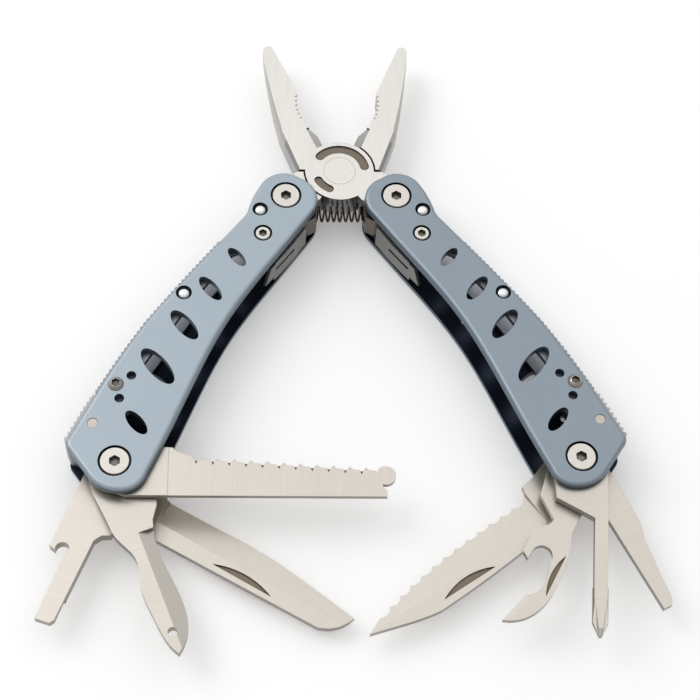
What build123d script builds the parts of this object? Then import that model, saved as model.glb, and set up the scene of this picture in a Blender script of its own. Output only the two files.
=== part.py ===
from build123d import *
import math
import os

# Folding multi tool, opened out flat. Millimetres, +Z up, +Y towards the plier jaws.
# The drawing's own origin lies midway between the two upper handle pivots; the last step
# moves everything so that the origin is at the centre of the whole object's base.

# ---------------------------------------------------------------- driving dimensions
# Handles
pivot_span = 88.0            # upper pivot to tool pivot, along one handle
handle_spread = 28.96        # degrees that each handle leans out from -Y
upper_pivot_x = 14.68        # half the distance between the two upper pivots
scale_thickness = 2.2        # one handle cover
scale_edge_radius = 1.1      # rounding round a cover's outer face
end_reach = 7.0              # cover beyond the upper pivot
liner_proud = 0.95           # rippled liners standing out of the covers
liner_serration_depth = 0.4
rocker_proud = 1.5           # lock rocker's thumb edge, standing out further
serration_depth = 0.7
serration_pitch = 1.45

# Jaws
jaw_thickness = 7.2
jaw_pivot_y = 10.6           # above the line of the upper pivots
jaw_opening = 45.4           # degrees between the gripping faces as drawn
jaw_length = 46.9            # pivot to tip
disc_radius = 9.3
disc_gap = 0.5               # round the disc, to the other jaw
stop_gap = 0.7               # between one jaw's shoulder and the other's, wide open
lap_clearance = 0.04         # between the two halves of the lap joint
tip_taper = 1.0              # thickness taken off each side at the tip
jaw_chamfer = 0.9

# Tool thicknesses, front to back in each handle
saw_thickness = 1.6
awl_thickness = 2.6
driver_opener_thickness = 3.0
plain_blade_thickness = 2.0
phillips_thickness = 2.5
can_opener_thickness = 1.7
flat_driver_thickness = 1.8
serrated_blade_thickness = 1.8
thinnest_washer = 0.16        # between tools, in the fuller stack
back_spacer_thickness = 2.4   # behind the right stack
tang_radius = 7.0             # round end of every folding tool
tang_washer_gap = 0.3         # liner to plier tang

# Fasteners
pivot_radius = 2.5
pivot_head_radius = 3.65
pivot_head_height = 1.5
pivot_socket = 2.6            # across flats
small_screw_radius = 1.2
small_head_radius = 2.0
small_head_height = 1.1
small_socket = 2.0
button_head_radius = 1.95
button_head_height = 1.15
dome_radius = 1.95
dome_seat_depth = 1.0         # below the cover's face
front_dome_rise = 1.2
back_dome_rise = 0.85
dome_shank_radius = 1.0
stop_pin_radius = 1.3
jaw_rivet_radius = 2.6
jaw_rivet_head_radius = 4.3
jaw_rivet_head_height = 1.2

# Clearances
running_clearance = 0.05      # radial, pivot in a turning part
face_clearance = 0.02         # each side of a washer
head_gap = 0.45               # radial, screw head in its counterbore
dome_gap = 0.1                # radial, domed rivet in its hole
seat_clearance = 0.05         # under a cover's face, so that no head stands out
rocker_clearance = 0.8        # lock rocker's nose to the tools' round ends
nose_clearance = 0.15         # detent bracket to the tool that passes over it

# Return spring
spring_wire = 0.55
spring_outer_radius = 2.2
spring_length = 16.6
spring_turns = 10
spring_axis_y = -1.15

# ---------------------------------------------------------------- worked-out values
left_tools = saw_thickness + awl_thickness + driver_opener_thickness + plain_blade_thickness
right_tools = (phillips_thickness + can_opener_thickness + flat_driver_thickness
               + serrated_blade_thickness)
washer_count = 5
fullest_stack = max(left_tools, right_tools + back_spacer_thickness)
channel = fullest_stack + washer_count * thinnest_washer
left_washer = (channel - left_tools) / washer_count
right_washer = (channel - right_tools - back_spacer_thickness) / washer_count
total_thickness = channel + 2 * scale_thickness
channel_low = scale_thickness
channel_high = total_thickness - scale_thickness
liner_thickness = (channel - jaw_thickness) / 2 - tang_washer_gap
liner_low_top = channel_low + liner_thickness
liner_high_bottom = channel_high - liner_thickness
middle = total_thickness / 2
jaw_low = middle - jaw_thickness / 2
jaw_high = middle + jaw_thickness / 2
half_opening = jaw_opening / 2
saw_low = channel_high - left_washer - saw_thickness


# ---------------------------------------------------------------- helpers
def outline(start, *steps):
    """A closed face: a point is a straight edge, a tuple of two an arc, a list a curve."""
    edges = []
    here = start
    for step in steps:
        if isinstance(step, list):
            edges.append(Spline(here, *step))
            here = step[-1]
        elif isinstance(step[0], tuple):
            edges.append(ThreePointArc(here, step[0], step[1]))
            here = step[1]
        else:
            edges.append(Line(here, step))
            here = step
    if math.dist(here, start) > 1e-6:
        edges.append(Line(here, start))
    return make_face(edges)


def plate(face, low, high):
    """A face in the XY plane as a plate between two heights."""
    return extrude(face.moved(Location((0, 0, low))), amount=high - low, dir=(0, 0, 1))


def rod(x, y, radius, low, high):
    """An upright round bar."""
    return Pos(x, y, (low + high) / 2) * Cylinder(radius, high - low)


def ring(x, y, outer, inner, low, high):
    """An upright washer."""
    return rod(x, y, outer, low, high) - rod(x, y, inner, low, high)


def hexagon(x, y, across_flats, low, high):
    """An upright hexagonal bar."""
    face = RegularPolygon(across_flats / math.sqrt(3), 6).face()
    return plate(Pos(x, y) * face, low, high)


def flipped(shape):
    """The same piece on the other face of the tool: turned front to back in place."""
    return Pos(0, 0, total_thickness) * mirror(shape, about=Plane.XY)


def mirrored(shape):
    """The same piece for the other handle."""
    return mirror(shape, about=Plane.YZ)


def place_left(shape):
    """From handle coordinates (upper pivot at the origin, -Y down the handle)."""
    return Pos(-upper_pivot_x, 0, 0) * Rot(0, 0, -handle_spread) * shape


def place_right(shape):
    """Handle coordinates to the drawing, for the mirrored handle."""
    return mirrored(place_left(shape))


def point_on_handle(x, y):
    """A point of the left handle in drawing coordinates."""
    turn = math.radians(-handle_spread)
    return (-upper_pivot_x + x * math.cos(turn) - y * math.sin(turn),
            x * math.sin(turn) + y * math.cos(turn))


# ---------------------------------------------------------------- handle covers
tool_pivot_y = -pivot_span
bracket_screw = (0.3, -13.35)
lock_screw = (-10.4, tool_pivot_y + 18.1)
stop_pin = (-9.9, tool_pivot_y + 6.2)
upper_rivet = (-3.85, -7.2)
lower_rivet = (-8.76, -0.443 * pivot_span)
# centre x, centre y, half length, half width of the five oval windows
windows = [
    (-2.05, -0.263 * pivot_span, 3.3, 1.5),
    (-3.4, -0.394 * pivot_span, 4.2, 1.8),
    (-3.9, -0.536 * pivot_span, 5.1, 2.15),
    (-3.9, -0.689 * pivot_span, 6.1, 2.5),
    (-0.6, tool_pivot_y + 11.35, 3.9, 1.75),
]
window_tilt = -23.0
sight_holes = [(-8.26, tool_pivot_y + 22.0), (-7.66, tool_pivot_y + 15.1)]
sight_hole_radius = 1.2


def spine_points():
    """The outer edge of a cover, from the tool end up to the neck."""
    return [
        (-13.62, -0.795 * pivot_span),
        (-13.5, -0.682 * pivot_span),
        (-12.91, -0.568 * pivot_span),
        (-11.54, -0.4545 * pivot_span),
        (-9.98, -0.341 * pivot_span),
        (-8.25, -0.227 * pivot_span),
        (-6.75, -11.6),
    ]


def scale_outline():
    """One handle cover seen from the front."""
    low = tool_pivot_y
    return outline(
        (8.69, 0.0),
        [(6.34, -0.227 * pivot_span), (4.69, -0.4545 * pivot_span),
         (5.96, -0.682 * pivot_span), (8.45, low + 1.0)],
        ((7.9, low - 3.4), (5.2, low - 6.1)),
        ((1.0, low - 7.4), (-3.4, low - 6.5)),
        (-11.4, low - 2.6),
        ((-12.8, low - 1.5), (-13.15, low + 0.2)),
        [(-13.34, low + 8.0)] + spine_points(),
        ((-6.55, -10.0), (-6.75, -8.4)),
        ((-7.5, -4.4), (-7.6, 0.0)),
        ((-5.2, end_reach - 1.6), (0.4, end_reach)),
        ((6.6, 4.9), (8.69, 0.0)),
    )


def oval(x, y, half_length, half_width):
    """One slanting window."""
    return Pos(x, y) * Rot(0, 0, window_tilt) * Ellipse(half_length, half_width).face()


def counterbore(x, y, recess_radius, depth, shank_radius):
    """What a screw head and its shank take out of the front cover."""
    top = total_thickness
    recess = rod(x, y, recess_radius, top - depth, top + 1)
    return recess + rod(x, y, shank_radius + running_clearance, channel_high - 1, top)


def small_counterbore(x, y):
    """Counterbore for a small screw head or its nut."""
    return counterbore(x, y, small_head_radius + head_gap,
                       small_head_height + seat_clearance, small_screw_radius)


def front_scale():
    """Front cover in handle coordinates, with windows, counterbores and rounded edge."""
    body = plate(scale_outline(), channel_high, total_thickness)
    rim = body.faces().sort_by(Axis.Z)[-1].edges()
    body = fillet(rim, scale_edge_radius)
    for x, y, half_length, half_width in windows:
        body -= plate(oval(x, y, half_length, half_width), channel_high - 1, total_thickness + 1)
    for x, y in sight_holes:
        body -= rod(x, y, sight_hole_radius, channel_high - 1, total_thickness + 1)
    for x, y in [(0.0, 0.0), (0.0, tool_pivot_y)]:
        body -= counterbore(x, y, pivot_head_radius + head_gap,
                            pivot_head_height + seat_clearance, pivot_radius)
    body -= small_counterbore(*bracket_screw)
    for x, y in [upper_rivet, lower_rivet]:
        body -= counterbore(x, y, dome_radius + dome_gap, dome_seat_depth, dome_shank_radius)
    body -= rod(*stop_pin, stop_pin_radius + running_clearance, channel_high - 1, total_thickness + 1)
    return body


def lock_screw_hole_front():
    """The raised lock screw needs only a shank hole in the front cover."""
    return rod(*lock_screw, small_screw_radius + running_clearance, channel_high - 1,
               total_thickness + 1)


def lock_screw_hole_back():
    """At the back its nut lies in a counterbore, made here on the front and then flipped."""
    return small_counterbore(*lock_screw)


# ---------------------------------------------------------------- liners
def serrated_edge(points, pitch, depth):
    """Small teeth standing on a line of points, as a list of outline points."""
    teeth = []
    for (x0, y0), (x1, y1) in zip(points, points[1:]):
        length = math.dist((x0, y0), (x1, y1))
        count = max(1, round(length / pitch))
        normal = ((y0 - y1) / length, (x1 - x0) / length)
        for n in range(count):
            for share, lift in [(0.0, 0.0), (0.35, depth), (0.65, depth)]:
                t = (n + share) / count
                teeth.append((x0 + (x1 - x0) * t + normal[0] * lift,
                              y0 + (y1 - y0) * t + normal[1] * lift))
    teeth.append(points[-1])
    return teeth


def liner_outline():
    """Steel liner: round the upper pivot, then a strip along the spine."""
    low = tool_pivot_y
    base = liner_proud - liner_serration_depth
    spine = [(x - base, y) for x, y in [(-13.62, low + 14.4)] + spine_points()[:-1]]
    return outline(
        (-7.4, low + 14.4),
        *serrated_edge(spine, serration_pitch, liner_serration_depth),
        (-6.7, -12.5),
        ((-6.4, -10.0), (-6.5, -8.0)),
        ((-7.0, -4.2), (-7.1, 0.0)),
        ((-4.9, 4.9), (0.3, end_reach - 0.5)),
        ((6.0, 4.6), (7.6, 0.0)),
        (7.2, -5.6),
        (4.4, -17.2),
        (-0.9, -17.4),
        (-4.2, -0.25 * pivot_span),
        (-6.4, -0.443 * pivot_span),
        (-7.9, -0.682 * pivot_span),
    )


def front_liner():
    """Front liner in handle coordinates."""
    body = plate(liner_outline(), liner_high_bottom, channel_high)
    body -= rod(0, 0, pivot_radius + running_clearance, liner_high_bottom - 1, channel_high + 1)
    body -= rod(*bracket_screw, small_screw_radius + running_clearance,
                liner_high_bottom - 1, channel_high + 1)
    body -= rod(*lock_screw, small_screw_radius + running_clearance,
                liner_high_bottom - 1, channel_high + 1)
    for x, y in [upper_rivet, lower_rivet]:
        body -= rod(x, y, dome_shank_radius + running_clearance, liner_high_bottom - 1,
                    channel_high + 1)
    return body


# ---------------------------------------------------------------- handle fasteners
def flat_head_screw(x, y, head_radius, head_height, shank_radius, socket):
    """Screw from the front: flat head with a hexagon socket, shank into the nut."""
    top = total_thickness - seat_clearance
    nut_bottom = head_height * 0.45
    head = rod(x, y, head_radius, top - head_height, top)
    head = chamfer(head.edges().sort_by(Axis.Z)[-1], 0.2)
    screw = head + rod(x, y, shank_radius, head_height + seat_clearance, top - head_height)
    screw += rod(x, y, shank_radius * 0.62, nut_bottom, head_height + seat_clearance)
    return screw - hexagon(x, y, socket, top - head_height * 0.8, top + 1)


def flat_nut(x, y, head_radius, head_height, shank_radius, socket):
    """Nut in the back cover, with a hexagon socket of its own."""
    low = seat_clearance
    nut = rod(x, y, head_radius, low, low + head_height)
    nut = chamfer(nut.edges().sort_by(Axis.Z)[0], 0.2)
    nut -= rod(x, y, shank_radius * 0.62, head_height * 0.45, low + head_height + 1)
    return nut - hexagon(x, y, socket, low - 1, head_height * 0.45)


def button_screw():
    """Lock screw with a raised round head on the front cover."""
    x, y = lock_screw
    top = total_thickness
    ball = (button_head_radius ** 2 + button_head_height ** 2) / (2 * button_head_height)
    dome = Pos(x, y, top + button_head_height - ball) * Sphere(ball)
    head = dome & rod(x, y, button_head_radius, top, top + button_head_height)
    shank_end = small_head_height + seat_clearance
    screw = head + rod(x, y, small_screw_radius, shank_end, top)
    screw += rod(x, y, small_screw_radius * 0.62, small_head_height * 0.45, shank_end)
    return screw - hexagon(x, y, small_socket, top + 0.2, top + 2 * button_head_height)


def dome_rivet(x, y, rise):
    """Short rivet that clamps the front cover to the front liner."""
    seat = total_thickness - dome_seat_depth
    ball = (dome_radius ** 2 + rise ** 2) / (2 * rise)
    dome = Pos(x, y, seat + rise - ball) * Sphere(ball)
    head = dome & rod(x, y, dome_radius, seat, seat + rise)
    return head + rod(x, y, dome_shank_radius, liner_high_bottom, seat)


def spine_rivets():
    """Two rivets in each face of a handle; the front domes stand a little proud."""
    front = [dome_rivet(*place, front_dome_rise) for place in (upper_rivet, lower_rivet)]
    back = [flipped(dome_rivet(*place, back_dome_rise)) for place in (upper_rivet, lower_rivet)]
    return front + back


def stop_pin_solid():
    """Cross pin through both covers, which limits the lock rocker."""
    return rod(*stop_pin, stop_pin_radius, seat_clearance + 0.1, total_thickness - seat_clearance - 0.1)


def tang_washers():
    """Two thin washers between the liners and the plier tang."""
    low = ring(0, 0, 5.8, pivot_radius + running_clearance,
               liner_low_top + face_clearance, jaw_low - face_clearance)
    return [low, flipped(low)]


def tool_washers(thicknesses, gap, first_low):
    """Washers below each tool of one stack, and one above the last."""
    washers = []
    low = first_low
    for thickness in list(reversed(thicknesses)) + [0.0]:
        washers.append(ring(0, tool_pivot_y, 5.6, pivot_radius + running_clearance,
                            low + face_clearance, low + gap - face_clearance))
        low += gap + thickness
    return washers


def back_spacer():
    """Thick spacer behind the right-hand stack."""
    return ring(0, tool_pivot_y, 6.2, pivot_radius + running_clearance,
                channel_low, channel_low + back_spacer_thickness)


# ---------------------------------------------------------------- detent bracket
bracket_sheet = 0.8


def detent_bracket():
    """Folded sheet bracket at the inner edge: a web with a slit, and two forked flanges."""
    low = liner_low_top
    high = liner_high_bottom
    inset = 0.1
    edge = [(8.62 - inset, -4.4), (8.12 - inset, -10.0), (7.35 - inset, -15.0), (5.95 - inset, -22.6)]
    inner = [(x - bracket_sheet, y) for x, y in reversed(edge)]
    web = plate(outline(edge[0], *edge[1:], *inner), low, high)
    trim_high = Pos(0, -20.4 - 10, high) * Rot(-22, 0, 0) * Box(40, 20, 12)
    web -= trim_high
    web -= Pos(0, -18.6 - 5, low) * Box(40, 10, 3.2)
    web -= Pos(0, -18.0 - 5, high) * Box(40, 10, 2 * (high - saw_low + nose_clearance))
    web -= Pos(7, -13.9, middle + 0.8) * Box(6, 7.7, 1.2)
    flange_face = outline(
        (edge[1][0] - 0.15, -6.5), (edge[1][0] - 0.4, -10.0), (edge[2][0] - 0.4, -15.0),
        (5.9, -17.6), (1.2, -16.4), (-0.6, -15.2), (-0.6, -11.4), (3.6, -8.8), (5.6, -6.5),
    )
    lower = plate(flange_face, low, low + bracket_sheet)
    upper = plate(flange_face, high - bracket_sheet, high)
    body = web + lower + upper
    return body - rod(*bracket_screw, small_screw_radius + running_clearance, low - 1, high + 1)


# ---------------------------------------------------------------- lock rocker
rocker_width_gap = 0.12
rocker_slot = 2.2


def rocker_outline():
    """Lock rocker: an eye round its screw and a long leg with a serrated back."""
    x, y = lock_screw
    low = tool_pivot_y
    back = rocker_proud
    nose = -tang_radius - rocker_clearance
    spine = [(-13.35 - back, low + 16.4), (-13.3 - back, low + 9.0), (-12.95 - back, low - 0.4)]
    teeth = serrated_edge(list(reversed(spine)), serration_pitch, serration_depth)
    raised = [(px + serration_depth, py) for px, py in teeth]
    return outline(
        (x + 2.7, y + 0.4),
        ((x + 0.2, y + 3.0), (x - 2.6, y + 1.4)),
        *reversed(raised),
        (-12.3, low - 1.5),
        (nose - 1.6, low - 1.2),
        (nose - 1.1, low + 0.9),
        (nose, low + 1.7),
        (nose - 1.1, low + 3.4),
        (nose + 0.2, low + 9.0),
        (x + 3.1, y - 3.0),
    )


def lock_rocker():
    """The rocker: narrow between the liners, full width below them."""
    face = rocker_outline()
    x, y = lock_screw
    narrow_low = liner_low_top + rocker_width_gap
    narrow_high = liner_high_bottom - rocker_width_gap
    wide = plate(face, channel_low + rocker_width_gap, channel_high - rocker_width_gap)
    step = tool_pivot_y + 14.4 - 0.5
    wide = wide & (Pos(0, step - 50, middle) * Box(100, 100, 100))
    body = wide + plate(face, narrow_low, narrow_high)
    body -= rod(x, y, small_screw_radius + running_clearance, 0, total_thickness)
    body -= rod(x, y, 2.75, middle - rocker_slot / 2, middle + rocker_slot / 2)
    body -= Pos(x + 3.2, y - 1.0, middle) * Box(6.0, 9.0, rocker_slot)
    return body - rod(*stop_pin, stop_pin_radius + 0.5, 0, total_thickness)


def lock_spring():
    """Torsion spring round the lock screw, with two straight legs."""
    x, y = lock_screw
    coil = ring(x, y, 2.2, small_screw_radius + 0.2, middle - 0.85, middle + 0.85)
    upper_leg = Pos(x + 2.6, y + 2.0, middle + 0.45) * Rot(0, 0, 42) * Box(5.4, 0.7, 0.7)
    lower_leg = Pos(x + 2.4, y - 2.3, middle - 0.45) * Rot(0, 0, -46) * Box(5.0, 0.7, 0.7)
    body = coil + upper_leg + lower_leg
    return body - rod(x, y, small_screw_radius + 0.2, middle - 2, middle + 2)


# ---------------------------------------------------------------- folding tools
def tool_body(face, low, thickness):
    """A tool as a plate with its pivot hole; the pivot is at the origin."""
    body = plate(face, low, low + thickness)
    return body - rod(0, 0, pivot_radius + running_clearance, low - 1, low + thickness + 1)


def bevel(low, thickness, start, end, full_y, thin_y, thin, top_only=False):
    """Two wedges that grind a plate from full thickness at full_y to thin at thin_y.

    The grind runs in X from start to end."""
    reach = thin_y + (thin_y - full_y) * 0.6
    depth = (thickness - thin) / 2 if not top_only else thickness - thin
    slope = depth / abs(thin_y - full_y)
    sink = depth + slope * abs(reach - thin_y)
    top = low + thickness
    upper = Plane.YZ * make_face([
        Line((full_y, top), (reach, top - sink)),
        Line((reach, top - sink), (reach, top + 1)),
        Line((reach, top + 1), (full_y, top + 1)),
        Line((full_y, top + 1), (full_y, top)),
    ])
    wedge = Pos(start, 0, 0) * extrude(upper, amount=end - start, dir=(1, 0, 0))
    if top_only:
        return wedge
    lower = mirror(wedge, about=Plane.XY.offset(low + thickness / 2))
    return wedge + lower


def nail_nick(left, right, base_y, peak_y, top, depth=0.5):
    """A crescent cut into the top face for a fingernail."""
    centre = (left + right) / 2
    face = outline((left, base_y), (right, base_y), ((centre, peak_y), (left, base_y)))
    return plate(face, top - depth, top + 1)


# the half round behind a tool's pivot, as one arc step
round_end = ((-tang_radius, 0.0), (0.0, tang_radius))


def saw(low):
    """Double-cut wood saw: V gullets in the front row, spikes standing up behind them."""
    first, pitch, count = 19.6, 4.05, 11
    drop = 0.3 / pitch
    half = saw_thickness / 2
    head = [(0.0, tang_radius), (10.5, 4.8), (13.8, 4.7), (14.5, 3.8), (16.5, 3.0), (18.6, 2.2)]
    tail = [
        (63.5, -1.7), (64.0, -2.5), (64.1, -1.3), (64.9, -0.8),
        ((68.5, -2.8), (65.2, -5.4)),
        (65.4, -6.4), (66.2, -6.8), (66.2, -8.7),
        (2.5, -8.0), (0.0, -tang_radius), round_end,
    ]
    front_row = []
    back_row = []
    for n in range(count):
        x = first + n * pitch
        y = 1.5 - n * pitch * drop
        front_row += [(x - 0.55, y), (x, y - 1.25), (x + 0.5, y - 0.05)]
        back_row += [(x - 0.5, y - 0.05), (x + 0.3, y - 0.1), (x + 1.2, y + 0.95), (x + 2.0, y)]
    front = plate(outline(*head, *front_row, *tail), low + half, low + saw_thickness)
    back = plate(outline(*head, *back_row, *tail), low, low + half)
    body = front + back - rod(0, 0, pivot_radius + running_clearance, low - 1, low + 2 * saw_thickness)
    relief = Pos(42.8, 0, low) * Box(60, 30, 0.24)
    return body - relief - Pos(0, 0, saw_thickness) * relief


def plain_blade(low):
    """Clip-ended blade with a ground edge and a nail nick."""
    face = outline(
        (0.0, tang_radius), (9.0, 6.4), (12.5, 3.4), (13.6, 1.5), (15.0, 1.5),
        [(30.0, 1.7), (42.0, 1.7), (56.0, 0.2), (68.5, -1.5)],
        [(66.0, -5.8), (62.0, -8.1)],
        (17.0, -8.9), (14.6, -6.6), (4.5, -7.4), (0.0, -tang_radius), round_end,
    )
    body = tool_body(face, low, plain_blade_thickness)
    body -= bevel(low, plain_blade_thickness, 14.4, 70.0, -4.6, 2.0, 0.25)
    return body - nail_nick(32.0, 48.5, -7.1, -5.4, low + plain_blade_thickness)


def awl(low):
    """Reamer awl: one ground flat along the edge and an eye near the point."""
    face = outline(
        (0.0, tang_radius), (9.0, 7.0), (12.5, 6.2), (16.0, 3.9), (20.0, 2.9),
        [(30.0, 3.2), (38.0, 3.8), (44.0, 2.9), (50.0, -1.5)],
        [(47.0, -2.9), (40.0, -4.0), (31.0, -4.3), (24.0, -3.2), (18.0, -5.6), (14.0, -6.3)],
        (4.0, -7.3), (0.0, -tang_radius), round_end,
    )
    body = tool_body(face, low, awl_thickness)
    body -= bevel(low, awl_thickness, 18.0, 55.0, -0.4, 3.8, 0.5, top_only=True)
    body -= rod(44.5, -1.1, 1.15, low - 1, low + awl_thickness + 1)
    return body


def driver_opener(low):
    """Large flat driver whose shank carries a cap-lifter notch."""
    face = outline(
        (0.0, tang_radius), (9.0, 6.6), (15.8, 4.6), (16.5, 2.6), (18.3, 1.3), (40.0, 0.0),
        (41.0, -0.8), (41.0, -4.5), (24.2, -4.0),
        ((21.0, -5.2), (23.4, -6.6)),
        (22.8, -8.3), (21.5, -8.1), (4.0, -7.4), (0.0, -tang_radius), round_end,
    )
    body = tool_body(face, low, driver_opener_thickness)
    grind = Pos(41.0, -2.5, low) * Rot(0, 7, 0) * Box(14.0, 12.0, 1.6)
    return body - grind


def phillips(low):
    """Cross-head driver: a flat base, a straight shank and a fluted tip."""
    thick = phillips_thickness
    base = outline(
        (0.0, tang_radius), (14.4, 7.2), (36.0, 7.2), (36.0, 3.95), (15.2, 3.95),
        (10.7, -5.6), (6.0, -6.0), (0.0, -tang_radius), round_end,
    )
    body = tool_body(base, low, thick)
    axis_y = 5.58
    radius = 1.95
    centre = low + thick / 2
    profile = make_face([
        Line((31.5, 0), (33.2, radius)), Line((33.2, radius), (42.0, radius)),
        Line((42.0, radius), (45.5, 0.35)), Line((45.5, 0.35), (45.5, 0)),
        Line((45.5, 0), (31.5, 0)),
    ])
    tip = Pos(0, axis_y, centre) * revolve(profile, axis=Axis.X)
    slab = Pos(38, axis_y, centre) * Box(20, 8, thick)
    tip = tip & slab
    for turn in (45, 135, 225, 315):
        flute = Pos(45.6, 0, 1.5) * Rot(0, 9, 0) * Rot(45, 0, 0) * Box(17.0, 1.5, 1.5)
        tip -= Pos(0, axis_y, centre) * Rot(turn, 0, 0) * flute
    return body + tip


def can_opener(low):
    """Hooked can opener with a lip and a nail nick."""
    face = outline(
        (0.0, tang_radius), (14.0, 6.2), (18.0, 6.3),
        [(24.0, 8.1), (30.0, 8.6), (36.4, 8.4), (41.9, 6.2), (46.0, 0.7)],
        (37.7, 2.9),
        [(36.8, 4.1), (35.1, 5.3), (32.0, 5.6), (26.1, 4.7)],
        ((23.9, 2.1), (26.3, -0.4)),
        (27.6, -0.5), (28.9, -0.6), (27.6, -2.4), (21.0, -2.7), (18.0, 0.5), (16.5, 0.8),
        (12.0, -5.0),
        (5.0, -6.2), (0.0, -tang_radius), round_end,
    )
    body = tool_body(face, low, can_opener_thickness)
    edge = Pos(42.9, 2.8, low + can_opener_thickness) * Rot(0, 0, -15.3) * Rot(9, 0, 0)
    body -= edge * Pos(0, -2.0, 0.8) * Box(11.0, 4.0, 1.6)
    return body - nail_nick(23.8, 35.6, 7.4, 6.1, low + can_opener_thickness)


def flat_driver(low):
    """Small flat driver with a ground tip."""
    face = outline(
        (0.0, tang_radius), (12.0, 6.6), (20.0, 6.2), (24.0, 4.8), (34.0, 3.2), (40.0, 2.4),
        (41.6, 1.5), (41.6, -0.8), (15.5, -0.5), (10.5, -5.6), (0.0, -tang_radius),
        round_end,
    )
    body = tool_body(face, low, flat_driver_thickness)
    top = low + flat_driver_thickness
    upper = Pos(34.4 + 8, 1.0, top + 1.5) * Rot(0, 5, 0) * Box(17.0, 12.0, 3.0)
    lower = mirror(upper, about=Plane.XY.offset(low + flat_driver_thickness / 2))
    return body - upper - lower


def serrated_blade(low):
    """Sheepsfoot blade with a scalloped edge and a nail nick."""
    first, pitch, count = 15.9, 3.65, 13

    def edge_point(n):
        run = n * pitch / 46.0
        return (first + n * pitch, -0.95 + 0.95 * run + 4.3 * run ** 3)

    scallops = []
    for n in range(count):
        (x0, y0), (x1, y1) = edge_point(n), edge_point(n + 1)
        scallops.append((((x0 + x1) / 2, (y0 + y1) / 2 + 0.85), (x1, y1)))
    face = outline(
        (0.0, -tang_radius), (5.0, -6.4), (11.0, -4.4), (14.0, -4.0), (14.4, -2.5),
        edge_point(0), *scallops, (67.8, 6.8),
        [(62.0, 8.5), (56.0, 10.2), (50.0, 11.4)],
        [(40.0, 11.1), (24.0, 10.0)],
        (14.0, 7.2), (0.0, tang_radius), ((-tang_radius, 0.0), (0.0, -tang_radius)),
    )
    body = tool_body(face, low, serrated_blade_thickness)
    body -= bevel(low, serrated_blade_thickness, 14.6, 70.0, 6.8, -1.3, 0.25)
    return body - nail_nick(32.3, 47.8, 9.5, 7.6, low + serrated_blade_thickness)


# tool, thickness, direction as drawn; front to back
left_stack = [
    ("saw", saw, saw_thickness, -0.4),
    ("awl", awl, awl_thickness, -69.6),
    ("driver_cap_lifter", driver_opener, driver_opener_thickness, -109.6),
    ("plain_blade", plain_blade, plain_blade_thickness, -31.6),
]
right_stack = [
    ("cross_driver", phillips, phillips_thickness, -96.3),
    ("can_opener", can_opener, can_opener_thickness, -119.6),
    ("flat_driver", flat_driver, flat_driver_thickness, -63.6),
    ("serrated_blade", serrated_blade, serrated_blade_thickness, -147.6),
]


def place_stack(stack, gap, first_low, pivot):
    """Every tool of one handle at its drawn angle, from the back of the stack forwards."""
    placed = {}
    low = first_low + gap
    for name, make, thickness, direction in reversed(stack):
        placed[name] = Pos(pivot[0], pivot[1], 0) * Rot(0, 0, direction) * make(low)
        low += thickness + gap
    return placed


# ---------------------------------------------------------------- plier jaws
def jaw_outline():
    """Right jaw above the disc, closed: the gripping face lies along x = 0."""
    s = jaw_length / 46.0
    face_gap = 0.05
    grip_start, grip_depth, notch_pitch = 27.8, 2.2, 1.45

    def hollow(y):
        return face_gap + grip_depth * math.sin(math.pi / 2 * min(1.0, (grip_start - y) / 7.0))

    grip = [(face_gap, grip_start * s)]
    for n in range(6):
        y = grip_start - 0.9 - notch_pitch * n
        grip += [(hollow(y + 0.35), (y + 0.35) * s), (hollow(y) + 0.8, y * s),
                 (hollow(y - 0.35), (y - 0.35) * s)]
    return outline(
        (9.9, 3.0), (10.45, 5.4), (10.3, 9.0), (9.9, 17.4 * s), (8.25, 25.5 * s), (6.3, 33.4 * s),
        (4.15, 41.1 * s), (2.9, 44.7 * s),
        ((2.0, 45.8 * s), (0.8, 45.9 * s)),
        (face_gap, 45.2 * s),
        *grip,
        (grip_depth, 16.3 * s), (face_gap, 14.0 * s), (face_gap, 9.4), (1.2, 3.0),
    )


def tang_outline():
    """Left tang of the same jaw, in drawing coordinates measured from the jaw pivot."""
    px, py = -upper_pivot_x, -jaw_pivot_y
    return outline(
        (-4.0, -stop_gap / 2), (-11.5, -stop_gap / 2),
        (px - 3.4, py + 5.9),
        ((px - 6.8, py), (px - 1.0, py - 6.75)),
        ((px + 3.4, py - 5.85), (px + 6.0, py - 5.6)),
        (-6.6, py - 4.4), (-5.9, py + 1.0), (-5.0, py + 2.2), (-2.0, -4.0),
    )


def cutter_bevels():
    """Wedges that give the wire cutter its edge at mid thickness, closed position."""
    low, high = 9.2, 16.2
    width = 2.7
    wedge = Plane.XZ * make_face([
        Line((-0.6, middle + 0.15), (width, jaw_high + 0.01)),
        Line((width, jaw_high + 0.01), (-0.6, jaw_high + 0.01)),
        Line((-0.6, jaw_high + 0.01), (-0.6, middle + 0.15)),
    ])
    wedge = Pos(0, low, 0) * extrude(wedge, amount=high - low, dir=(0, 1, 0))
    return wedge + mirror(wedge, about=Plane.XY.offset(middle))


def tip_wedges():
    """Wedges that thin the jaw towards its tip."""
    start = jaw_length * 0.42
    run = jaw_length - start
    wedge = Plane.YZ * make_face([
        Line((start, jaw_high), (start + run * 1.2, jaw_high - tip_taper * 1.2)),
        Line((start + run * 1.2, jaw_high - tip_taper * 1.2), (start + run * 1.2, jaw_high + 1)),
        Line((start + run * 1.2, jaw_high + 1), (start, jaw_high + 1)),
        Line((start, jaw_high + 1), (start, jaw_high)),
    ])
    wedge = Pos(-30, 0, 0) * extrude(wedge, amount=60, dir=(1, 0, 0))
    return wedge + mirror(wedge, about=Plane.XY.offset(middle))


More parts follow.
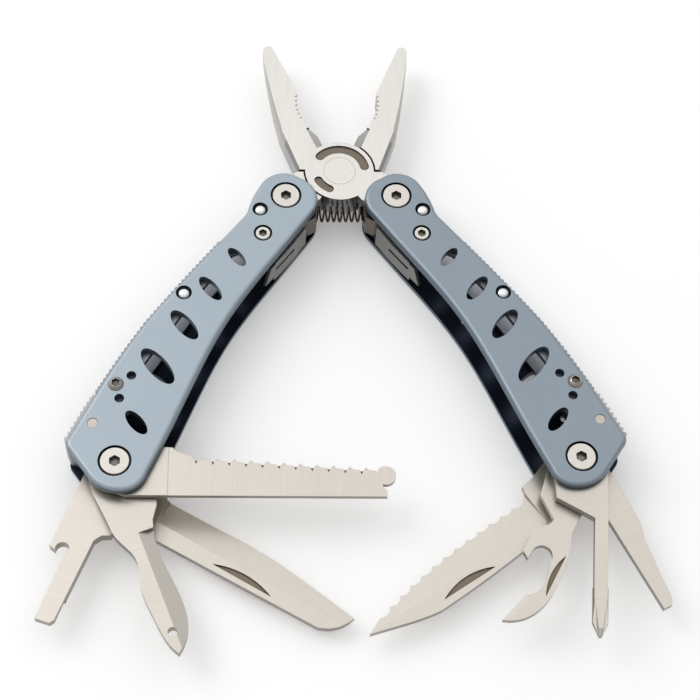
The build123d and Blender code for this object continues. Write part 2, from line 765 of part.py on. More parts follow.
def jaw_b():
    """Right jaw with the left tang and the rear half of the lap, about the jaw pivot."""
    nose = plate(jaw_outline(), jaw_low, jaw_high)
    outer = nose.edges().filter_by_position(Axis.Z, jaw_high - 0.01, jaw_high + 0.01)
    outer += nose.edges().filter_by_position(Axis.Z, jaw_low - 0.01, jaw_low + 0.01)
    outer = [e for e in outer if e.center().X > 4.0 and e.center().Y > 6.5]
    outer = [e for e in outer if abs((e @ 1 - e @ 0).Y) > 3.0]
    nose = chamfer(outer, jaw_chamfer)
    nose -= cutter_bevels()
    nose -= tip_wedges()
    nose = Rot(0, 0, -half_opening) * nose
    nose -= Pos(0, stop_gap / 2 - 20, middle) * Box(60, 40, 20)
    body = nose + plate(tang_outline(), jaw_low, jaw_high)
    lap = middle - lap_clearance / 2
    body -= rod(0, 0, disc_radius + disc_gap, lap, total_thickness)
    body += rod(0, 0, disc_radius, jaw_low, lap)
    body -= rod(0, 0, jaw_rivet_radius + running_clearance, 0, total_thickness)
    body -= rod(0, 0, jaw_rivet_head_radius + running_clearance, 0,
                jaw_low + jaw_rivet_head_height + running_clearance)
    pivot_hole = rod(-upper_pivot_x, -jaw_pivot_y, pivot_radius + running_clearance,
                     0, total_thickness)
    body -= pivot_hole
    socket_x = -spring_length / 2
    socket = Pos(socket_x, spring_axis_y - jaw_pivot_y, middle) * Rot(0, 90, 0)
    socket *= Cylinder(spring_outer_radius + 0.25, spring_length * 0.5)
    return body - Pos(spring_length * 0.25 - 0.15, 0, 0) * socket


def at_jaw_pivot(shape):
    """From jaw coordinates to the drawing."""
    return Pos(0, jaw_pivot_y, 0) * shape


def recess_arc(mid_radius, width, start, end):
    """A curved slot with round ends, as an upright cutter in the front disc."""
    depth = 0.45
    low = jaw_high - depth
    a0, a1 = math.radians(start), math.radians(end)
    am = (a0 + a1) / 2
    ro, ri = mid_radius + width / 2, mid_radius - width / 2

    def polar(radius, angle):
        return (radius * math.cos(angle), radius * math.sin(angle))

    def cap(angle, sign):
        reach = width / 2
        middle_point = polar(mid_radius, angle)
        return (middle_point[0] + sign * reach * -math.sin(angle),
                middle_point[1] + sign * reach * math.cos(angle))

    face = outline(
        polar(ro, a0), (polar(ro, am), polar(ro, a1)),
        (cap(a1, 1 if a1 > a0 else -1), polar(ri, a1)),
        (polar(ri, am), polar(ri, a0)),
        (cap(a0, -1 if a1 > a0 else 1), polar(ro, a0)),
    )
    return plate(face, low, jaw_high + 1)


def jaws():
    """Both jaws in the drawing: the second is the first turned about Y."""
    right = jaw_b()
    left = Pos(0, 0, total_thickness) * Rot(0, 180, 0) * right
    left -= recess_arc(6.95, 2.5, 138, 12)
    left -= recess_arc(6.5, 2.3, 208, 244)
    return at_jaw_pivot(left), at_jaw_pivot(right)


def jaw_rivet():
    """Pivot rivet with a flush head on each side."""
    shank = rod(0, 0, jaw_rivet_radius, jaw_low, jaw_high)
    lower = rod(0, 0, jaw_rivet_head_radius, jaw_low, jaw_low + jaw_rivet_head_height)
    upper = rod(0, 0, jaw_rivet_head_radius, jaw_high - jaw_rivet_head_height, jaw_high)
    return at_jaw_pivot(shank + lower + upper)


def return_spring():
    """Coil spring between the two tangs, seated in a pocket in each."""
    radius = spring_outer_radius - spring_wire / 2
    path = Helix(spring_length / spring_turns, spring_length - spring_wire, radius)
    section = Plane(origin=path @ 0, z_dir=path % 0) * Circle(spring_wire / 2)
    coil = sweep(section, path=path, is_frenet=True)
    length = spring_length - spring_wire
    return Pos(-length / 2, spring_axis_y, middle) * Rot(0, 90, 0) * coil


# ---------------------------------------------------------------- assembly
def handle_nodes(side):
    """Every piece of one handle, in handle coordinates."""
    stack = left_stack if side == "left" else right_stack
    gap = left_washer if side == "left" else right_washer
    first_low = channel_low if side == "left" else channel_low + back_spacer_thickness
    pivot = (pivot_head_radius, pivot_head_height, pivot_radius, pivot_socket)
    small = (small_head_radius, small_head_height, small_screw_radius, small_socket)
    front = front_scale()
    liner = front_liner()
    nodes = {
        "front_cover": [front - lock_screw_hole_front()],
        "back_cover": [flipped(front - lock_screw_hole_back())],
        "front_liner": [liner],
        "back_liner": [flipped(liner)],
        "plier_pivot_screw": [flat_head_screw(0, 0, *pivot)],
        "plier_pivot_nut": [flat_nut(0, 0, *pivot)],
        "tool_pivot_screw": [flat_head_screw(0, tool_pivot_y, *pivot)],
        "tool_pivot_nut": [flat_nut(0, tool_pivot_y, *pivot)],
        "bracket_screw": [flat_head_screw(*bracket_screw, *small)],
        "bracket_nut": [flat_nut(*bracket_screw, *small)],
        "lock_screw": [button_screw()],
        "lock_nut": [flat_nut(*lock_screw, *small)],
        "spine_rivets": spine_rivets(),
        "stop_pin": [stop_pin_solid()],
        "detent_bracket": [detent_bracket()],
        "tang_washers": tang_washers(),
        "tool_washers": tool_washers([t for _, _, t, _ in stack], gap, first_low),
        "lock_rocker": [lock_rocker()],
        "lock_spring": [lock_spring()],
    }
    if side == "right":
        nodes["back_spacer"] = [back_spacer()]
    return nodes


def build():
    """Every node of the object, in drawing coordinates."""
    nodes = {}
    for side, place in (("left", place_left), ("right", place_right)):
        for name, solids in handle_nodes(side).items():
            nodes[f"{side}_{name}"] = [place(s) for s in solids]
    left_pivot = point_on_handle(0, tool_pivot_y)
    right_pivot = (-left_pivot[0], left_pivot[1])
    low_right = channel_low + back_spacer_thickness
    tools = place_stack(left_stack, left_washer, channel_low, left_pivot)
    tools.update(place_stack(right_stack, right_washer, low_right, right_pivot))
    for name, solid in tools.items():
        nodes[name] = [solid]
    left_jaw, right_jaw = jaws()
    nodes["left_jaw"] = [left_jaw]
    nodes["right_jaw"] = [right_jaw]
    nodes["jaw_rivet"] = [jaw_rivet()]
    nodes["jaw_return_spring"] = [return_spring()]
    return nodes


def base_centre(nodes):
    """Centre of the whole object's plan, which becomes the origin."""
    boxes = [s.bounding_box() for solids in nodes.values() for s in solids]
    low_x = min(b.min.X for b in boxes)
    high_x = max(b.max.X for b in boxes)
    low_y = min(b.min.Y for b in boxes)
    high_y = max(b.max.Y for b in boxes)
    return (low_x + high_x) / 2, (low_y + high_y) / 2


nodes = build()
centre_x, centre_y = base_centre(nodes)
os.makedirs("parts", exist_ok=True)
for name, solids in nodes.items():
    moved = [Pos(-centre_x, -centre_y, 0) * s for s in solids]
    shape = moved[0] if len(moved) == 1 else Compound(children=moved)
    export_step(shape, f"parts/{name}.step")
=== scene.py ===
import math

import bpy
from mathutils import Matrix, Vector


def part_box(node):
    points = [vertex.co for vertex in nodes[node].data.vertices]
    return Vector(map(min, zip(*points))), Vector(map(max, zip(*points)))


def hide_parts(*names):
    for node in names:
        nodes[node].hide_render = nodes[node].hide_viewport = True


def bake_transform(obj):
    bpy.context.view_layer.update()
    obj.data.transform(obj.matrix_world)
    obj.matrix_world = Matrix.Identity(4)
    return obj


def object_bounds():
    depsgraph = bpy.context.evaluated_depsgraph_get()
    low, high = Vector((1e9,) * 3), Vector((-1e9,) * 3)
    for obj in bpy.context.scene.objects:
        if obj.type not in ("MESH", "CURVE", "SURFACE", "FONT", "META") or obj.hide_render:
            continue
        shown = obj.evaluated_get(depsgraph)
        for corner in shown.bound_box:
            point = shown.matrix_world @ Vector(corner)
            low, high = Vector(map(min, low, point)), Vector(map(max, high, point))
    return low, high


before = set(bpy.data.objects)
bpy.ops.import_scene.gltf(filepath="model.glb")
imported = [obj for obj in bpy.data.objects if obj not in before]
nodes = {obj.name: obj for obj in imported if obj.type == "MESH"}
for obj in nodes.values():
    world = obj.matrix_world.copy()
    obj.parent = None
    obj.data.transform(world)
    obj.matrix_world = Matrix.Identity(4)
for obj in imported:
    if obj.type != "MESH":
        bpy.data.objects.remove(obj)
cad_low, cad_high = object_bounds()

# Folding multi tool, opened out. Metres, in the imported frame: +Y towards the plier jaws, +Z out of the
# front covers, the tool lying on z = 0. Small sizes are written in millimetres and multiplied by MM.
MM = 0.001


# ------------------------------------------------------------------------------ places
def centre_of(node):
    """Middle of a CAD node's box."""
    low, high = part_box(node)
    return (low + high) / 2


front_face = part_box("left_front_cover")[1].z
left_top = centre_of("left_plier_pivot_screw")
right_top = centre_of("right_plier_pivot_screw")
left_end = centre_of("left_tool_pivot_screw")
right_end = centre_of("right_tool_pivot_screw")


def axis_angle(start, end):
    """Direction in the plan from one point to another, in radians."""
    return math.atan2(end.y - start.y, end.x - start.x)


# ------------------------------------------------------------------------------ camera
CAMERA_DISTANCE = 448.8 * MM
CAMERA_AZIMUTH = -9.72
CAMERA_ELEVATION = 60.9
CAMERA_ROLL = 8.28
CAMERA_AIM = (11.35 * MM, -44.4 * MM)     # from the midpoint of the upper pivots, on the front face
CAMERA_LENS = 90.79
SENSOR_WIDTH = 36.0
CAMERA_SHIFT = (-0.0588, -0.0124)


def add_camera():
    """Camera in front of and above the tool, slightly rolled."""
    azimuth = math.radians(CAMERA_AZIMUTH)
    elevation = math.radians(CAMERA_ELEVATION)
    roll = math.radians(CAMERA_ROLL)
    back = Vector((math.sin(azimuth) * math.cos(elevation),
                   -math.cos(azimuth) * math.cos(elevation),
                   math.sin(elevation)))
    right = (-back).cross(Vector((0, 0, 1))).normalized()
    up = right.cross(-back)
    rolled_right = right * math.cos(roll) + up * math.sin(roll)
    rolled_up = up * math.cos(roll) - right * math.sin(roll)
    middle = (left_top + right_top) / 2
    aim = Vector((middle.x + CAMERA_AIM[0], middle.y + CAMERA_AIM[1], front_face))
    place = aim + back * CAMERA_DISTANCE
    data = bpy.data.cameras.new("camera")
    data.lens = CAMERA_LENS
    data.sensor_width = SENSOR_WIDTH
    data.shift_x, data.shift_y = CAMERA_SHIFT
    data.clip_start = 0.01
    data.clip_end = 20.0
    camera = bpy.data.objects.new("camera", data)
    bpy.context.scene.collection.objects.link(camera)
    axes = Matrix((rolled_right, rolled_up, back)).transposed()
    camera.matrix_world = Matrix.Translation(place) @ axes.to_4x4()
    bpy.context.scene.camera = camera


# ------------------------------------------------------------------------------ light and floor
def add_area_light(name, place, aim, size, power):
    """A square soft box at a place, facing a point."""
    data = bpy.data.lights.new(name, "AREA")
    data.shape = "RECTANGLE"
    data.size, data.size_y = size
    data.energy = power
    light = bpy.data.objects.new(name, data)
    bpy.context.scene.collection.objects.link(light)
    direction = Vector(aim) - Vector(place)
    light.location = place
    light.rotation_mode = "QUATERNION"
    light.rotation_quaternion = direction.to_track_quat("-Z", "Y")


def add_world(bright, dim):
    """Studio surroundings: bright overhead and behind the jaws, dimmer low down and at the handle ends."""
    world = bpy.data.worlds.new("studio")
    world.use_nodes = True
    tree = world.node_tree
    direction = tree.nodes.new("ShaderNodeTexCoord")
    towards = tree.nodes.new("ShaderNodeVectorMath")
    towards.operation = "DOT_PRODUCT"
    towards.inputs[1].default_value = Vector((-0.12, 0.44, 0.89)).normalized()
    spread = tree.nodes.new("ShaderNodeMapRange")
    spread.interpolation_type = "SMOOTHSTEP"
    spread.inputs["From Min"].default_value = 0.25
    spread.inputs["From Max"].default_value = 0.9
    spread.inputs["To Min"].default_value = dim
    spread.inputs["To Max"].default_value = bright
    tree.links.new(direction.outputs["Generated"], towards.inputs[0])
    tree.links.new(towards.outputs["Value"], spread.inputs["Value"])
    background = tree.nodes["Background"]
    background.inputs["Color"].default_value = (1.0, 1.0, 1.0, 1.0)
    tree.links.new(spread.outputs["Result"], background.inputs["Strength"])
    bpy.context.scene.world = world


def add_floor(size):
    """Plain white floor just under the tool."""
    half = size / 2
    mesh = bpy.data.meshes.new("floor")
    mesh.from_pydata([(-half, -half, 0), (half, -half, 0), (half, half, 0), (-half, half, 0)], [],
                     [(0, 1, 2, 3)])
    floor = bpy.data.objects.new("floor", mesh)
    floor.location.z = cad_low.z - 0.02 * MM
    bpy.context.scene.collection.objects.link(floor)
    material = bpy.data.materials.new("floor")
    material.use_nodes = True
    shader = material.node_tree.nodes["Principled BSDF"]
    shader.inputs["Base Color"].default_value = (0.88, 0.88, 0.88, 1.0)
    shader.inputs["Emission Color"].default_value = (1.0, 1.0, 1.0, 1.0)
    shader.inputs["Emission Strength"].default_value = 0.2
    shader.inputs["Roughness"].default_value = 0.9
    shader.inputs["Specular IOR Level"].default_value = 0.1
    mesh.materials.append(material)


# ------------------------------------------------------------------------------ shading helpers
class Nodes:
    """Short forms for building one material's node tree."""

    def __init__(self, name):
        self.material = bpy.data.materials.new(name)
        self.material.use_nodes = True
        self.tree = self.material.node_tree
        self.shader = self.tree.nodes["Principled BSDF"]
        coordinates = self.tree.nodes.new("ShaderNodeTexCoord")
        self.point = coordinates.outputs["Object"]
        self.facing = coordinates.outputs["Normal"]

    def link(self, source, target):
        self.tree.links.new(source, target)

    def stretched(self, angle, scale):
        """Object coordinates turned about Z and scaled along each axis, in lines per metre."""
        mapping = self.tree.nodes.new("ShaderNodeMapping")
        mapping.vector_type = "TEXTURE"
        mapping.inputs["Rotation"].default_value = (0, 0, angle)
        mapping.inputs["Scale"].default_value = [1.0 / s for s in scale]
        self.link(self.point, mapping.inputs["Vector"])
        return mapping.outputs["Vector"]

    def noise(self, vector, scale, detail=3.0, roughness=0.55):
        texture = self.tree.nodes.new("ShaderNodeTexNoise")
        texture.inputs["Scale"].default_value = scale
        texture.inputs["Detail"].default_value = detail
        texture.inputs["Roughness"].default_value = roughness
        self.link(vector, texture.inputs["Vector"])
        return texture.outputs["Fac"]

    def ranged(self, value, low, high, start=0.3, end=0.7):
        """A texture's value spread between two numbers."""
        node = self.tree.nodes.new("ShaderNodeMapRange")
        node.inputs["From Min"].default_value = start
        node.inputs["From Max"].default_value = end
        node.inputs["To Min"].default_value = low
        node.inputs["To Max"].default_value = high
        self.link(value, node.inputs["Value"])
        return node.outputs["Result"]

    def mixed(self, factor, first, second):
        """Colour between two colours or sockets."""
        node = self.tree.nodes.new("ShaderNodeMix")
        node.data_type = "RGBA"
        self.link(factor, node.inputs["Factor"])
        for key, value in (("A", first), ("B", second)):
            socket = [s for s in node.inputs if s.identifier == f"{key}_Color"][0]
            if isinstance(value, tuple):
                socket.default_value = (*value, 1.0)
            else:
                self.link(value, socket)
        return [s for s in node.outputs if s.identifier == "Result_Color"][0]

    def maths(self, operation, first, second):
        node = self.tree.nodes.new("ShaderNodeMath")
        node.operation = operation
        for n, value in enumerate((first, second)):
            if isinstance(value, float):
                node.inputs[n].default_value = value
            else:
                self.link(value, node.inputs[n])
        return node.outputs["Value"]

    def edge_mask(self, radius):
        """1 along convex and concave edges within a radius, 0 on open faces."""
        bevel = self.tree.nodes.new("ShaderNodeBevel")
        bevel.samples = 4
        bevel.inputs["Radius"].default_value = radius
        geometry = self.tree.nodes.new("ShaderNodeNewGeometry")
        dot = self.tree.nodes.new("ShaderNodeVectorMath")
        dot.operation = "DOT_PRODUCT"
        self.link(bevel.outputs["Normal"], dot.inputs[0])
        self.link(geometry.outputs["Normal"], dot.inputs[1])
        return self.ranged(dot.outputs["Value"], 1.0, 0.0, 0.75, 0.99)

    def part_of(self, vector, axis):
        """One component of a vector."""
        node = self.tree.nodes.new("ShaderNodeSeparateXYZ")
        self.link(vector, node.inputs["Vector"])
        return node.outputs[axis]

    def within(self, value, low, high):
        """1 between two values given in millimetres, 0 outside."""
        above = self.maths("GREATER_THAN", value, low * MM)
        return self.maths("MULTIPLY", above, self.maths("LESS_THAN", value, high * MM))

    def steepness(self, start=0.35, end=0.9):
        """0 on faces that lie flat, 1 on upright walls."""
        lying = self.maths("ABSOLUTE", self.part_of(self.facing, "Z"), 0.0)
        return self.ranged(lying, 1.0, 0.0, start, end)

    def crevice_shade(self, distance, darkest):
        """Painted shade: 1 on open faces, down to a smaller factor in gaps, holes and corners."""
        node = self.tree.nodes.new("ShaderNodeAmbientOcclusion")
        node.samples = 8
        node.inputs["Distance"].default_value = distance
        return self.ranged(node.outputs["AO"], darkest, 1.0, 0.15, 0.85)

    def from_axis(self, centre):
        """Distance from an upright axis."""
        flat = self.tree.nodes.new("ShaderNodeVectorMath")
        flat.operation = "MULTIPLY"
        flat.inputs[1].default_value = (1, 1, 0)
        self.link(self.point, flat.inputs[0])
        gone = self.tree.nodes.new("ShaderNodeVectorMath")
        gone.operation = "DISTANCE"
        gone.inputs[1].default_value = (centre.x, centre.y, 0)
        self.link(flat.outputs["Vector"], gone.inputs[0])
        return gone.outputs["Value"]

    def dimmed(self, colour, factor):
        """A colour times a factor."""
        node = self.tree.nodes.new("ShaderNodeVectorMath")
        node.operation = "SCALE"
        self.link(colour, node.inputs[0])
        self.link(factor, node.inputs["Scale"])
        return node.outputs["Vector"]

    def rounded(self, radius):
        """Normals turned softly over sharp edges."""
        bevel = self.tree.nodes.new("ShaderNodeBevel")
        bevel.samples = 4
        bevel.inputs["Radius"].default_value = radius
        return bevel.outputs["Normal"]

    def bump(self, height, strength, distance):
        node = self.tree.nodes.new("ShaderNodeBump")
        self.link(self.rounded(0.12 * MM), node.inputs["Normal"])
        node.inputs["Strength"].default_value = strength
        node.inputs["Distance"].default_value = distance
        self.link(height, node.inputs["Height"])
        self.link(node.outputs["Normal"], self.shader.inputs["Normal"])

    def finish(self, colour, metallic, roughness, **constants):
        """Connects or sets the shader's main sockets."""
        for key, value in (("Base Color", colour), ("Roughness", roughness)):
            socket = self.shader.inputs[key]
            if isinstance(value, tuple):
                socket.default_value = (*value, 1.0)
            elif isinstance(value, float):
                socket.default_value = value
            else:
                self.link(value, socket)
        self.shader.inputs["Metallic"].default_value = metallic
        for key, value in constants.items():
            self.shader.inputs[key].default_value = value
        return self.material


# ------------------------------------------------------------------------------ materials
SCRATCH_SCALE = (31.2, 2080.0, 2080.0)     # lines per metre, along and across the grinding
CUTTER_REACH = (17.3 * MM, 17.5 * MM)      # from the jaws' axis, where the cutters' faces end
TANG_START = (9.8 * MM, 9.2 * MM)          # below the jaws' axis, where the tangs turn dark
DISC_RADIUS = 8.8 * MM                     # inside which the disc's recesses lie
RECESS_DEPTH = 0.35 * MM
NICK_DEPTH = 0.3 * MM


def anodised(name, angle, colour, edge_colour, inner_side):
    """Satin blue anodised cover: fine blasted grain, faint long streaks, paler worn edges.

    The inner face, turned up or down by inner_side, is bare of light and nearly black."""
    n = Nodes(name)
    grain = n.noise(n.point, 5200.0, 2.0)
    streaks = n.noise(n.stretched(angle, (30.0, 260.0, 260.0)), 6.0, 3.0)
    clouds = n.noise(n.point, 55.0, 2.0)
    tone = n.maths("ADD", n.ranged(streaks, 0.0, 0.3), n.ranged(clouds, 0.1, 0.6))
    body = n.mixed(tone, tuple(c * 0.9 for c in colour), colour)
    edges = n.edge_mask(0.25 * MM)
    worn = n.maths("MULTIPLY", edges, n.ranged(n.noise(n.point, 700.0, 3.0), 0.0, 0.35))
    body = n.mixed(worn, body, edge_colour)
    # Painted shade on the cover's upright walls.
    body = n.mixed(n.steepness(0.1, 0.75), body, WALL_SHADE_BLUE)
    # Painted shade on the cover's inner face.
    inner = n.ranged(n.maths("MULTIPLY", n.part_of(n.facing, "Z"), inner_side), 0.0, 1.0, 0.4, 0.6)
    body = n.mixed(inner, body, INNER_SHADE_BLUE)
    n.bump(grain, 0.1, 0.015 * MM)
    rough = n.maths("SUBTRACT", n.ranged(clouds, 0.42, 0.48), n.maths("MULTIPLY", inner, 0.18))
    # Painted shade in gaps, holes and corners.
    return n.finish(n.dimmed(body, n.crevice_shade(2.0 * MM, 0.12)), 0.8, rough)


def brushed(name, angle, colour, roughness, wall_shade=0.42, recess=None, nick=None):
    """Satin ground steel with fine parallel scratches; walls and slots get painted shade.

    recess is the jaws' axis, a radius and a height: faces inside it and below that height are dark, and so
    are the wire cutters' slanting faces round it; the tangs that reach into the handles get painted shade.
    nick is a pivot, a direction, the reach along and across that direction, and a height."""
    n = Nodes(name)
    fine = n.noise(n.stretched(angle, SCRATCH_SCALE), 1.0, 3.0, 0.6)
    broad = n.noise(n.stretched(angle, (14.0, 90.0, 90.0)), 1.0, 2.0)
    clouds = n.noise(n.point, 90.0, 3.0)
    tone = n.maths("MULTIPLY", n.ranged(fine, 0.6, 1.0), n.ranged(broad, 0.8, 1.0))
    body = n.mixed(tone, tuple(c * 0.84 for c in colour), colour)
    bright = tuple(min(1.0, c * 1.12) for c in colour)
    body = n.mixed(n.maths("MULTIPLY", n.edge_mask(0.2 * MM), 0.4), body, bright)
    # Painted shade on upright walls.
    body = n.mixed(n.steepness(0.3, 0.97), body, tuple(c * wall_shade for c in colour))
    if recess:
        centre, radius, height = recess
        inside = n.ranged(n.from_axis(centre), 1.0, 0.0, radius, radius + 0.05 * MM)
        deep = n.ranged(n.part_of(n.point, "Z"), 1.0, 0.0, height, height + 0.1 * MM)
        body = n.mixed(n.maths("MULTIPLY", inside, deep), body, RECESS_BROWN)
        cutters = n.ranged(n.from_axis(centre), 1.0, 0.0, *CUTTER_REACH)
        body = n.mixed(n.maths("MULTIPLY", cutters, n.steepness(0.66, 0.9)), body, CUTTER_GREY)
        # Painted shade on the tangs inside the handles.
        tangs = n.ranged(n.part_of(n.point, "Y"), 1.0, 0.0, *(centre.y - drop for drop in TANG_START))
        body = n.mixed(tangs, body, TANG_SHADE)
    if nick:
        pivot, direction, along, across, height = nick
        turned = n.tree.nodes.new("ShaderNodeMapping")
        turned.vector_type = "TEXTURE"
        turned.inputs["Location"].default_value = (pivot.x, pivot.y, 0)
        turned.inputs["Rotation"].default_value = (0, 0, math.radians(direction))
        n.link(n.point, turned.inputs["Vector"])
        inside = n.within(n.part_of(turned.outputs["Vector"], "X"), *along)
        inside = n.maths("MULTIPLY", inside, n.within(n.part_of(turned.outputs["Vector"], "Y"), *across))
        deep = n.ranged(n.part_of(n.point, "Z"), 1.0, 0.0, height, height + 0.05 * MM)
        body = n.mixed(n.maths("MULTIPLY", inside, deep), body, NICK_BROWN)
    n.bump(fine, 0.18, 0.008 * MM)
    # Painted shade in gaps, holes and corners.
    return n.finish(n.dimmed(body, n.crevice_shade(1.6 * MM, 0.14)), 1.0,
                    n.ranged(clouds, roughness - 0.04, roughness + 0.05))


def turned_steel(name, centre, colour, roughness, socket=0.0, floor=0.0):
    """Screw and rivet steel with faint concentric turning marks about its own axis.

    Inside the socket's radius and below floor the colour is darker, painted shade in the socket."""
    n = Nodes(name)
    gone = n.from_axis(centre)
    rings = n.maths("SINE", n.maths("MULTIPLY", gone, 42000.0), 0.0)
    speck = n.noise(n.point, 900.0, 3.0)
    body = n.mixed(n.ranged(speck, 0.5, 1.0), tuple(c * 0.9 for c in colour), colour)
    bright = tuple(min(1.0, c * 1.12) for c in colour)
    body = n.mixed(n.maths("MULTIPLY", n.edge_mask(0.15 * MM), 0.5), body, bright)
    # Painted shade on upright walls.
    body = n.mixed(n.steepness(0.3, 0.97), body, tuple(c * 0.4 for c in colour))
    # Painted shade in the screw's hex socket.
    if socket:
        inside = n.ranged(gone, 1.0, 0.0, socket, socket + 0.05 * MM)
        deep = n.ranged(n.part_of(n.point, "Z"), 1.0, 0.0, floor - 0.25 * MM, floor - 0.1 * MM)
        body = n.mixed(n.maths("MULTIPLY", inside, deep), body, tuple(c * 0.3 for c in colour))
    n.bump(rings, 0.06, 0.004 * MM)
    # Painted shade in gaps, holes and corners.
    return n.finish(n.dimmed(body, n.crevice_shade(1.4 * MM, 0.15)), 1.0,
                    n.ranged(speck, roughness - 0.03, roughness + 0.04))


# One anodised blue in two copies: the left cover's is painted lighter, the right cover's painted darker
# (painted light and shade).
BLUE_LEFT_LIT = (0.41, 0.48, 0.535)
BLUE_RIGHT_SHADED = (0.31, 0.365, 0.415)
BLUE_EDGE = (0.58, 0.65, 0.70)
# Painted shade on the covers' walls, and below it painted shade on their inner faces.
WALL_SHADE_BLUE = (0.11, 0.15, 0.19)
INNER_SHADE_BLUE = (0.02, 0.028, 0.045)
RECESS_BROWN = (0.20, 0.17, 0.14)
NICK_BROWN = (0.22, 0.18, 0.14)
CUTTER_GREY = (0.36, 0.36, 0.36)
# Painted shade for the tangs inside the handles.
TANG_SHADE = (0.16, 0.14, 0.12)
STEEL_WARM = (0.71, 0.665, 0.60)
STEEL_JAW = (0.82, 0.79, 0.75)
STEEL_LINER = (0.34, 0.36, 0.39)
STEEL_FRAME = (0.50, 0.49, 0.47)
STEEL_ROCKER = (0.46, 0.46, 0.46)
NICKEL = (0.74, 0.71, 0.66)
NICKEL_BROWN = (0.58, 0.53, 0.48)
CHROME = (0.93, 0.93, 0.93)
SPRING = (0.12, 0.09, 0.07)
BRONZE = (0.42, 0.32, 0.20)


def give(node, material):
    """Puts a material on a CAD node's slots."""
    for slot in nodes[node].material_slots:
        slot.material = material


def top_of(node):
    """Height of a CAD node's highest point."""
    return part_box(node)[1].z


def finish_handles():
    """Covers, liners, screws and the other pieces of both handles."""
    # Each side's cover blue is a lit or shaded copy of one colour: painted light and shade.
    for side, end, top, colour in (("left", left_end, left_top, BLUE_LEFT_LIT),
                                   ("right", right_end, right_top, BLUE_RIGHT_SHADED)):
        axis = axis_angle(end, top)
        give(f"{side}_front_cover", anodised(f"{side}_front_blue", axis, colour, BLUE_EDGE, -1.0))
        give(f"{side}_back_cover", anodised(f"{side}_back_blue", axis, colour, BLUE_EDGE, 1.0))
        liner = brushed(f"{side}_liner", axis, STEEL_LINER, 0.4)
        give(f"{side}_front_liner", liner)
        give(f"{side}_back_liner", liner)
        give(f"{side}_detent_bracket", brushed(f"{side}_frame", axis, STEEL_FRAME, 0.34))
        give(f"{side}_lock_rocker", brushed(f"{side}_rocker", axis, STEEL_ROCKER, 0.36))
        for part, socket, metal in (("plier_pivot", 1.6, NICKEL), ("tool_pivot", 1.6, NICKEL),
                                    ("bracket", 1.25, NICKEL), ("lock", 1.25, NICKEL_BROWN)):
            screw = f"{side}_{part}_screw"
            steel = turned_steel(f"{side}_{part}_steel", centre_of(screw), metal, 0.26,
                                 socket * MM, top_of(screw))
            give(screw, steel)
            give(f"{side}_{part}_nut", steel)
        pin = f"{side}_stop_pin"
        give(pin, turned_steel(f"{side}_pin_steel", centre_of(pin), NICKEL_BROWN, 0.3))
        rivets = f"{side}_spine_rivets"
        give(rivets, turned_steel(f"{side}_rivet_chrome", centre_of(rivets), CHROME, 0.12))
        bronze = turned_steel(f"{side}_bronze", centre_of(f"{side}_tool_washers"), BRONZE, 0.38)
        give(f"{side}_tang_washers", bronze)
        give(f"{side}_tool_washers", bronze)
        spring = f"{side}_lock_spring"
        give(spring, turned_steel(f"{side}_lock_wire", centre_of(spring), SPRING, 0.35))
    give("right_back_spacer", turned_steel("spacer_bronze", right_end, BRONZE, 0.38))


# Each nail nick: pivot, direction in degrees, millimetres along and across that direction.
# The saw's is the row of V gullets, which lies along its sloping front row of teeth.
NAIL_NICKS = {
    "saw": (left_end, -4.64, (19.0, 62.5), (1.2, 2.9)),
    "plain_blade": (left_end, -31.6, (30.0, 50.0), (-8.0, -5.0)),
    "can_opener": (right_end, -119.6, (23.0, 36.5), (5.8, 7.9)),
    "serrated_blade": (right_end, -147.6, (31.0, 49.0), (7.3, 10.4)),
}


def finish_tools():
    """Ground steel on every folding tool, scratched across its length, dark in its nail nick."""
    for pivot, tools in ((left_end, ("saw", "awl", "driver_cap_lifter", "plain_blade")),
                         (right_end, ("cross_driver", "can_opener", "flat_driver", "serrated_blade"))):
        for tool in tools:
            angle = axis_angle(pivot, centre_of(tool)) + math.pi / 2
            nick = NAIL_NICKS.get(tool)
            if nick:
                nick = (*nick, top_of(tool) - NICK_DEPTH)
            give(tool, brushed(f"{tool}_steel", angle, STEEL_WARM, 0.33, nick=nick))


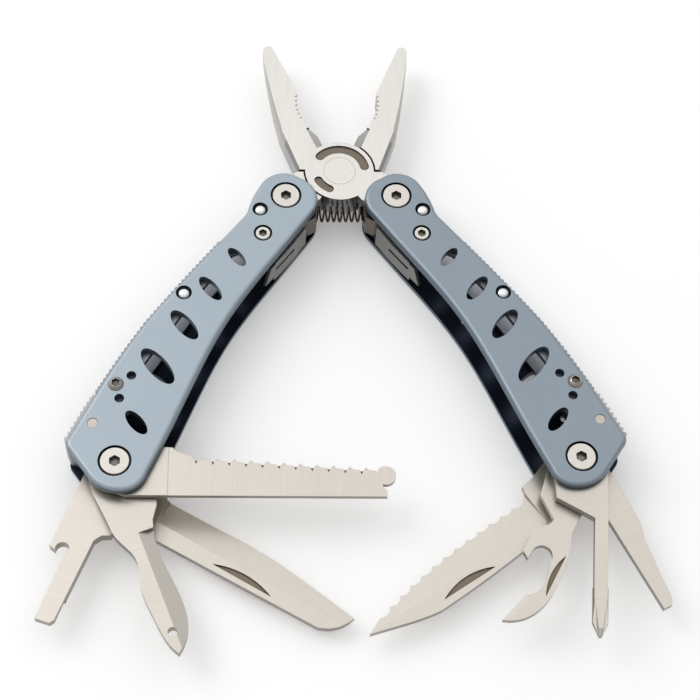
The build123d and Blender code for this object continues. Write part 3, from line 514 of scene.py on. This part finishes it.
def finish_jaws():
    """Jaws and rivet alike, with the disc's two recesses dark at the bottom."""
    pivot = centre_of("jaw_rivet")
    face = top_of("jaw_rivet")
    for jaw in ("left_jaw", "right_jaw"):
        angle = axis_angle(pivot, centre_of(jaw))
        recess = (pivot, DISC_RADIUS, face - RECESS_DEPTH)
        give(jaw, brushed(f"{jaw}_steel", angle, STEEL_JAW, 0.30, wall_shade=0.55, recess=recess))
    give("jaw_rivet", brushed("jaw_rivet_steel", 0.6, STEEL_JAW, 0.30))


def coil_mesh(name, start, end, coil_radius, wire_radius, turns):
    """A round-wire coil between two points, with both ends closed."""
    along = (end - start).normalized()
    side = along.cross(Vector((0, 0, 1))).normalized()
    rise = side.cross(along)
    steps, sides = 28, 10
    count = turns * steps
    points = []
    faces = []
    for i in range(count + 1):
        turn = 2 * math.pi * i / steps
        spoke = side * math.cos(turn) + rise * math.sin(turn)
        middle = start + (end - start) * (i / count) + spoke * coil_radius
        for k in range(sides):
            angle = 2 * math.pi * k / sides
            outward = spoke * wire_radius * math.cos(angle)
            points.append(middle + outward + along * wire_radius * math.sin(angle))
    for i in range(count):
        for k in range(sides):
            a, b = i * sides + k, i * sides + (k + 1) % sides
            faces.append((a, b, b + sides, a + sides))
    faces.append(tuple(range(sides)))
    faces.append(tuple(count * sides + k for k in reversed(range(sides))))
    mesh = bpy.data.meshes.new(name)
    mesh.from_pydata(points, [], faces)
    mesh.shade_smooth()
    piece = bpy.data.objects.new(name, mesh)
    bpy.context.scene.collection.objects.link(piece)
    return piece


def add_return_spring():
    """The spring between the tangs, as a still coil in place of the CAD spring.

    Each jaw has the other side's tang."""
    low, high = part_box("jaw_return_spring")
    middle = (low + high) / 2
    wire = 0.275 * MM
    radius = (high.z - low.z) / 2 - wire
    start = Vector((low.x + wire, middle.y, middle.z))
    end = Vector((high.x - wire, middle.y, middle.z))
    piece = coil_mesh("return_spring_coil", start, end, radius, wire, 10)
    piece.data.materials.append(turned_steel("return_spring_wire", middle, SPRING, 0.32))
    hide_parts("jaw_return_spring")
    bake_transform(piece)


# ------------------------------------------------------------------------------ scene
bpy.context.scene.view_settings.view_transform = "Standard"
add_camera()
add_world(1.02, 0.45)
add_floor(3.0)
add_area_light("key", (-0.8, 0.45, 1.0), (0, 0, 0), (0.8, 0.8), 4.0)
finish_handles()
finish_tools()
finish_jaws()
add_return_spring()
